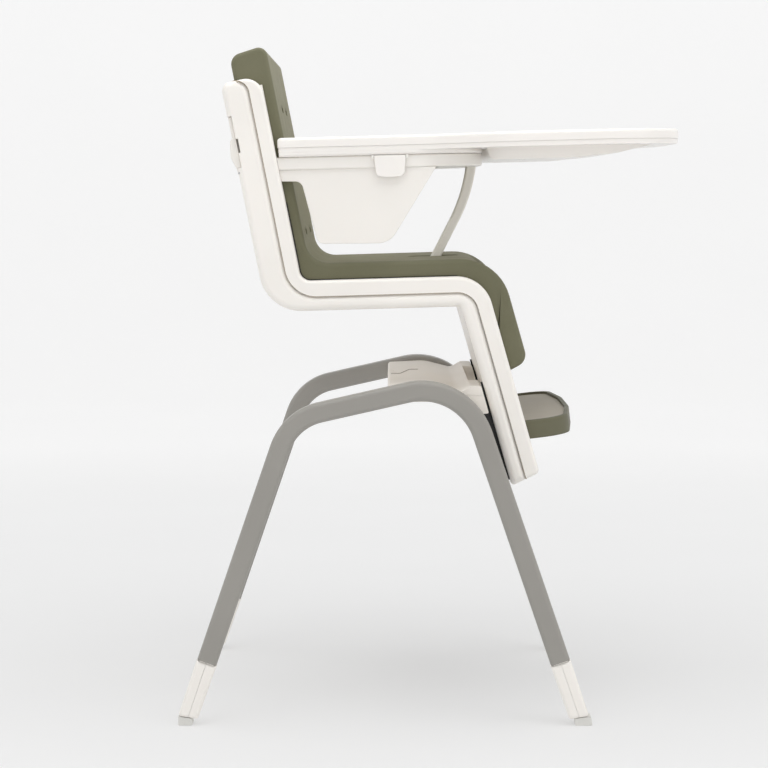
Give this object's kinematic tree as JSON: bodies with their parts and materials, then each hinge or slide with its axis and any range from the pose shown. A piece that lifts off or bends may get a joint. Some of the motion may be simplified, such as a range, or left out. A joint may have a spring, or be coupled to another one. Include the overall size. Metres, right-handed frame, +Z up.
{
  "type": "high chair",
  "caption": "Child's high chair: ribbon-shaped seat with a foam pad, height-adjusting on a bridge between two arched tube legs, with a lift-off tray, armbar, side panels and footrest",
  "frame": {"origin": "on the floor, midway between the two sides and midway between the rear feet and the front of the tray", "axes": "+X is the way the child faces, +Y is the child's left, +Z is up"},
  "size_m": [0.7241, 0.57, 0.9603],
  "materials": {
    "leg_grey": "satin powder coat",
    "shell_white": "fine satin moulded plastic",
    "cover_white": "satin moulded plastic",
    "foot_rubber": "matt pale rubber",
    "bridge_white": "satin moulded plastic",
    "steel": "plated steel",
    "post_black": "black powder coat",
    "cap_black": "moulded black plastic",
    "channel_grey": "anodised",
    "pad_olive": "fine-grained closed-cell foam",
    "footrest_olive": "satin moulded plastic",
    "tread_taupe": "soft matt tread",
    "lever_white": "satin moulded plastic",
    "tray_white": "low gloss moulded plastic",
    "arm_white": "satin moulded plastic",
    "post_grey": "flexible satin plastic",
    "button_grey": "satin moulded plastic"
  },
  "bodies": {
    "base": {"leg_left": "leg_grey", "leg_right": "leg_grey", "cover_rear_left_fore": "cover_white", "cover_rear_left_aft": "cover_white", "cover_rear_right_fore": "cover_white", "cover_rear_right_aft": "cover_white", "cover_front_left_fore": "cover_white", "cover_front_left_aft": "cover_white", "cover_front_right_fore": "cover_white", "cover_front_right_aft": "cover_white", "foot_rear_left": "foot_rubber", "foot_rear_right": "foot_rubber", "foot_front_left": "foot_rubber", "foot_front_right": "foot_rubber", "bridge_top_shell": "bridge_white", "bridge_bottom_shell": "bridge_white", "bridge_beam": "steel", "bridge_screws": "steel", "leg_bolts": "steel", "slide_post_left": "post_black", "slide_post_right": "post_black", "post_end_caps": "cap_black"},
    "seat": {"seat_rear_shell": "shell_white", "seat_front_shell": "shell_white", "seat_pad": "pad_olive", "seat_screws": "steel", "frame_tube_left": "steel", "frame_tube_right": "steel", "slide_channel_left": "channel_grey", "slide_channel_right": "channel_grey", "lever_pins": "steel"},
    "height_lever": {"height_lever": "lever_white"},
    "lock_pin_left": {"lock_pin_left": "steel"},
    "lock_pin_right": {"lock_pin_right": "steel"},
    "footrest": {"footrest_body": "footrest_olive", "footrest_tread": "tread_taupe", "footrest_runner_left": "cap_black", "footrest_runner_right": "cap_black"},
    "footrest_button": {"footrest_button": "button_grey"},
    "armbar": {"armbar": "arm_white", "crotch_post": "post_grey", "side_panel_left": "arm_white", "side_panel_right": "arm_white", "armbar_tongue_left": "steel", "armbar_tongue_right": "steel"},
    "release_button_left": {"release_button_left": "button_grey"},
    "release_button_right": {"release_button_right": "button_grey"},
    "tray": {"tray_base": "tray_white", "tray_runner_left": "tray_white", "tray_runner_right": "tray_white", "latch_bracket_left": "tray_white", "latch_bracket_right": "tray_white", "latch_pin_left": "steel", "latch_pin_right": "steel"},
    "tray_insert": {"tray_insert": "tray_white"},
    "tray_latch_left": {"tray_latch_left": "tray_white"},
    "tray_latch_right": {"tray_latch_right": "tray_white"}
  },
  "joints": [
    {"name": "seat_height", "type": "slide", "parent": "base", "child": "seat", "axis": [-0.274, 0, 0.9617], "range_m": [-0.066, 0.066]},
    {"name": "height_lever_pull", "type": "hinge", "parent": "seat", "child": "height_lever", "pos_m": [-0.27414, 0, 0.78233], "axis": [0, -1, 0], "range_deg": [0, 12], "stiffness_Nm_per_rad": 1, "springref_deg": -5.73},
    {"name": "lock_pin_left_slide", "type": "slide", "parent": "seat", "child": "lock_pin_left", "axis": [0, -1, 0], "range_m": [0, 0.007]},
    {"name": "lock_pin_right_slide", "type": "slide", "parent": "seat", "child": "lock_pin_right", "axis": [0, 1, 0], "range_m": [0, 0.007]},
    {"name": "footrest_height", "type": "slide", "parent": "seat", "child": "footrest", "axis": [-0.274, 0, 0.9617], "range_m": [-0.045, 0.03]},
    {"name": "footrest_button_press", "type": "slide", "parent": "footrest", "child": "footrest_button", "axis": [-0.1219, 0, 0.9925], "range_m": [0, 0.003], "stiffness_N_per_m": 400, "springref_m": -0.002},
    {"name": "armbar_pull", "type": "slide", "parent": "seat", "child": "armbar", "axis": [1, 0, 0], "range_m": [0, 0.016]},
    {"name": "release_button_left_press", "type": "slide", "parent": "armbar", "child": "release_button_left", "axis": [0, 1, 0], "range_m": [0, 0.002], "stiffness_N_per_m": 400, "springref_m": -0.002},
    {"name": "release_button_right_press", "type": "slide", "parent": "armbar", "child": "release_button_right", "axis": [0, -1, 0], "range_m": [0, 0.002], "stiffness_N_per_m": 400, "springref_m": -0.002},
    {"name": "tray_slide", "type": "slide", "parent": "armbar", "child": "tray", "axis": [0.9997, 0, 0.0262], "range_m": [0, 0.06]},
    {"name": "tray_insert_lift", "type": "slide", "parent": "tray", "child": "tray_insert", "axis": [-0.0262, 0, 0.9997], "range_m": [0, 0.06]},
    {"name": "tray_latch_left_swing", "type": "hinge", "parent": "tray", "child": "tray_latch_left", "pos_m": [-0.061, 0.233, 0.80569], "axis": [0.9997, 0, 0.0262], "range_deg": [0, 18], "stiffness_Nm_per_rad": 0.2, "springref_deg": -5.73},
    {"name": "tray_latch_right_swing", "type": "hinge", "parent": "tray", "child": "tray_latch_right", "pos_m": [-0.061, -0.233, 0.80569], "axis": [-0.9997, 0, -0.0262], "range_deg": [0, 18], "stiffness_Nm_per_rad": 0.2, "springref_deg": -5.73}
  ],
  "couplings": [
    {"joint": "lock_pin_left_slide", "follows": "height_lever_pull", "m_per_rad": 0.033423},
    {"joint": "lock_pin_right_slide", "follows": "height_lever_pull", "m_per_rad": 0.033423}
  ]
}
